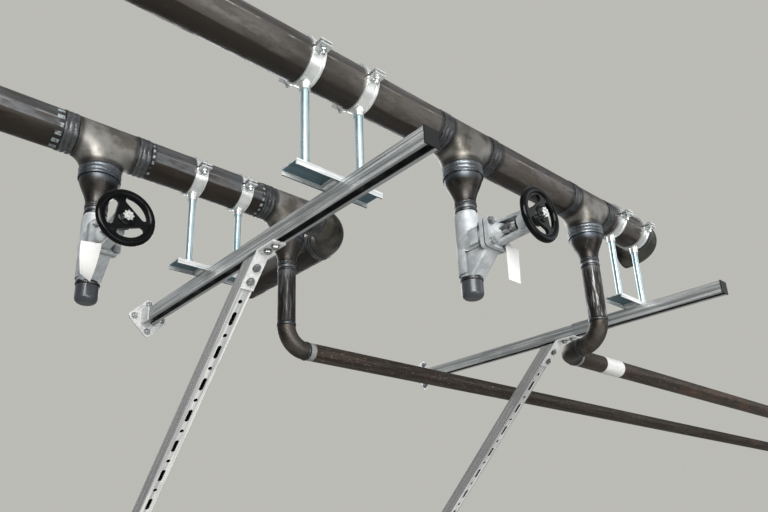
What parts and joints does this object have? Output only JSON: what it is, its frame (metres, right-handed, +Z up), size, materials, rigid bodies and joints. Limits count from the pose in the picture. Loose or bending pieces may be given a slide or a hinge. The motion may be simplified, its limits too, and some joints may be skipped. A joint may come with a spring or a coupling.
{
  "type": "wall-bracket pipe bridge",
  "caption": "Pipe bridge on braced wall rails: paired headers held by band clamps on stems, with handwheel stop valves, capped drains and drop branches that turn into small run pipes.",
  "frame": {"origin": "middle of the left rail's wall plate, on the wall face", "axes": "+X along the wall and the headers, +Y into the wall, +Z up"},
  "size_m": [4.962, 1.622, 1.2048],
  "materials": {
    "galvanised_channel": "galvanised, satin",
    "galvanised_plate": "galvanised, bright",
    "zinc_band": "zinc plated, bright",
    "mill_scale_pipe": "mill scale, dull with a blue top sheen",
    "tee_steel": "bare steel, warm satin",
    "reducer_steel": "bare steel, dark satin",
    "rusty_pipe": "mill scale with light rust",
    "valve_paint": "silver grey paint",
    "spindle_steel": "turned steel",
    "wheel_black": "gloss black",
    "cap_black": "dark gloss",
    "black_plastic": "moulded",
    "white_tag": "blank"
  },
  "bodies": {
    "body": {"brace_feet": "galvanised_plate", "brace_heads": "galvanised_plate", "channel_seats": "galvanised_plate", "front_drop_elbows": "rusty_pipe", "front_drop_pipe": "rusty_pipe", "front_header_elbow": "tee_steel", "front_header_spools": "mill_scale_pipe", "front_left_clamps": "zinc_band", "front_left_cross_channel": "galvanised_channel", "front_left_stems": "zinc_band", "front_reducers": "reducer_steel", "front_right_clamps": "zinc_band", "front_right_cross_channel": "galvanised_channel", "front_right_stems": "zinc_band", "front_run_pipe": "rusty_pipe", "front_tees": "tee_steel", "front_valve_body": "valve_paint", "front_valve_bonnet": "valve_paint", "left_brace": "galvanised_channel", "left_rail": "galvanised_channel", "rail_end_caps": "black_plastic", "rail_sleeve": "galvanised_channel", "rear_drop_elbow": "rusty_pipe", "rear_drop_pipe": "rusty_pipe", "rear_header_elbow": "tee_steel", "rear_header_spools": "mill_scale_pipe", "rear_left_clamps": "zinc_band", "rear_left_cross_channel": "galvanised_channel", "rear_left_stems": "zinc_band", "rear_reducers": "reducer_steel", "rear_run_pipe": "rusty_pipe", "rear_tees": "tee_steel", "rear_valve_body": "valve_paint", "rear_valve_bonnet": "valve_paint", "right_brace": "galvanised_channel", "right_rail": "galvanised_channel", "valve_caps": "cap_black", "valve_tags": "white_tag", "wall_pipe": "mill_scale_pipe", "wall_saddles": "galvanised_plate"},
    "rear_wheel": {"rear_handwheel": "wheel_black"},
    "rear_spindle": {"rear_valve_spindle": "spindle_steel"},
    "front_wheel": {"front_handwheel": "wheel_black"},
    "front_spindle": {"front_valve_spindle": "spindle_steel"}
  },
  "joints": [
    {"name": "rear_wheel_turn", "type": "hinge", "parent": "body", "child": "rear_wheel", "pos_m": [-0.35, -0.6645, 0.003], "axis": [0, -1, 0], "range_deg": [0, 1800]},
    {"name": "rear_spindle_lift", "type": "slide", "parent": "body", "child": "rear_spindle", "axis": [0, -1, 0], "range_m": [0, 0.025]},
    {"name": "front_wheel_turn", "type": "hinge", "parent": "body", "child": "front_wheel", "pos_m": [0.465, -1.306, 0.003], "axis": [0, -1, 0], "range_deg": [0, 1800]},
    {"name": "front_spindle_lift", "type": "slide", "parent": "body", "child": "front_spindle", "axis": [0, -1, 0], "range_m": [0, 0.025]}
  ],
  "couplings": [
    {"joint": "rear_spindle_lift", "follows": "rear_wheel_turn", "m_per_rad": 0.00079577},
    {"joint": "front_spindle_lift", "follows": "front_wheel_turn", "m_per_rad": 0.00079577}
  ]
}
